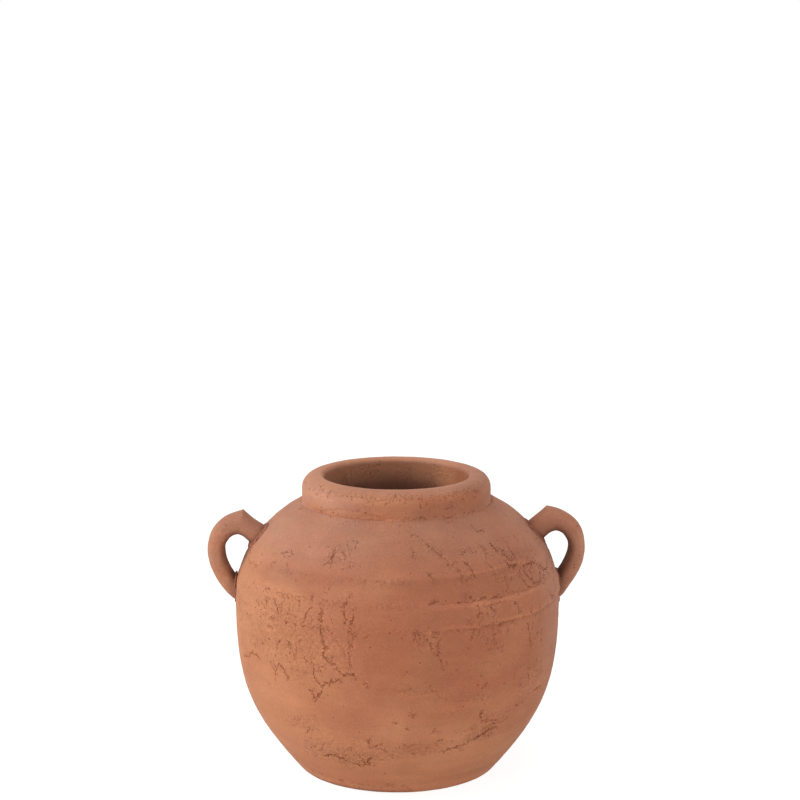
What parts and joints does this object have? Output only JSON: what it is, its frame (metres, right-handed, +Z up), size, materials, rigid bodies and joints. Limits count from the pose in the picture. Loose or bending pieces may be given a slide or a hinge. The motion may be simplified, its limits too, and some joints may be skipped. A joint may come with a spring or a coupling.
{
  "type": "handled vase",
  "caption": "Unglazed terracotta vase with a flared foot, wide belly, applied band, rolled rim and ear handles, luted together from separate pieces of clay.",
  "frame": {"origin": "centre of the foot, on the table", "axes": "+Z up along the vase's axis, out of the mouth; +X towards the right handle; +Y away from the front"},
  "size_m": [0.299, 0.2572, 0.234],
  "materials": {
    "terracotta": "matte",
    "luting_clay": "matte"
  },
  "bodies": {
    "root": {"floor_disc": "terracotta", "lower_wall": "terracotta", "shoulder_wall": "terracotta", "belly_band": "terracotta", "rim_collar": "terracotta", "left_handle": "terracotta", "right_handle": "terracotta", "left_upper_luting": "luting_clay", "left_lower_luting": "luting_clay", "right_upper_luting": "luting_clay", "right_lower_luting": "luting_clay"}
  },
  "joints": []
}
